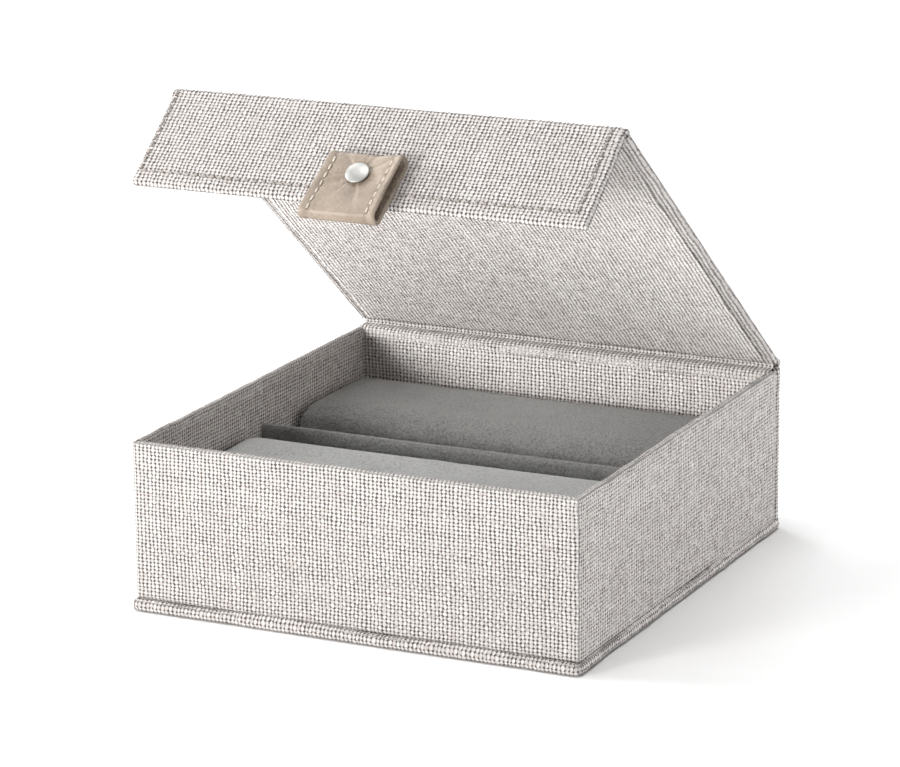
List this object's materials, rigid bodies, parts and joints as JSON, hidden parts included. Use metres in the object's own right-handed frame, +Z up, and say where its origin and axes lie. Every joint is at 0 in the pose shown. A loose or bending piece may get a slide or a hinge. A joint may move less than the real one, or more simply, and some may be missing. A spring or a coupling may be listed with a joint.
{
  "type": "keepsake box",
  "caption": "Cloth-covered keepsake box with a hinged lid, fold-over front flap, leather pull tab and two suede display rolls beside a low divider.",
  "frame": {"origin": "centre of the base panel's underside, on the surface the box stands on", "axes": "+X to the right along the front, +Y from the front flap to the hinge, +Z up"},
  "size_m": [0.161, 0.1741, 0.168],
  "materials": {
    "linen": "coarse plain weave, matte",
    "suede": "short suede nap, matte",
    "grey_board": "pressed paper board",
    "wadding": "loose fibre wadding",
    "tab_leather": "smooth, softly creased",
    "tab_lining": "smooth",
    "thread": "twisted thread",
    "tab_thread": "waxed cream thread",
    "rivet_metal": "satin",
    "magnet": "nickel plated"
  },
  "bodies": {
    "tray": {"base_board": "grey_board", "base_cover": "linen", "tray_front_board": "grey_board", "tray_back_outer_board": "grey_board", "tray_back_inner_board": "grey_board", "tray_left_board": "grey_board", "tray_right_board": "grey_board", "tray_floor_board": "grey_board", "tray_cover": "linen", "tray_floor_lining": "suede", "spine_board": "grey_board", "spine_cover": "linen", "divider_board": "grey_board", "divider_cover": "suede", "wall_left_magnet": "magnet", "wall_right_magnet": "magnet", "lid_hinge_cloth": "linen"},
    "front_roll": {"front_roll_filling": "wadding", "front_roll_cover": "suede", "front_roll_left_end": "suede", "front_roll_right_end": "suede"},
    "back_roll": {"back_roll_filling": "wadding", "back_roll_cover": "suede", "back_roll_left_end": "suede", "back_roll_right_end": "suede"},
    "lid": {"lid_board": "grey_board", "lid_cover": "linen", "lid_lining": "linen", "flap_hinge_cloth": "linen"},
    "flap": {"flap_board": "grey_board", "flap_cover": "linen", "flap_lining": "linen", "flap_left_magnet": "magnet", "flap_right_magnet": "magnet", "flap_stitching": "thread", "tab_leather": "tab_leather", "tab_lining": "tab_lining", "tab_stitching": "tab_thread", "rivet_cap": "rivet_metal", "rivet_post": "rivet_metal", "rivet_back": "rivet_metal"}
  },
  "joints": [
    {"name": "lid_hinge", "type": "hinge", "parent": "tray", "child": "lid", "pos_m": [0, 0.0835, 0.0597], "axis": [-1, 0, 0], "range_deg": [-38.9, 141.1], "deforming": ["lid_hinge_cloth"]},
    {"name": "flap_fold", "type": "hinge", "parent": "lid", "child": "flap", "pos_m": [0, -0.04849, 0.1662], "axis": [-1, 0, 0], "range_deg": [-11.9, 78.1], "deforming": ["flap_hinge_cloth"]},
    {"name": "front_roll_lift", "type": "slide", "parent": "tray", "child": "front_roll", "axis": [0, 0, 1], "range_m": [0, 0.014]},
    {"name": "back_roll_lift", "type": "slide", "parent": "tray", "child": "back_roll", "axis": [0, 0, 1], "range_m": [0, 0.014]}
  ]
}
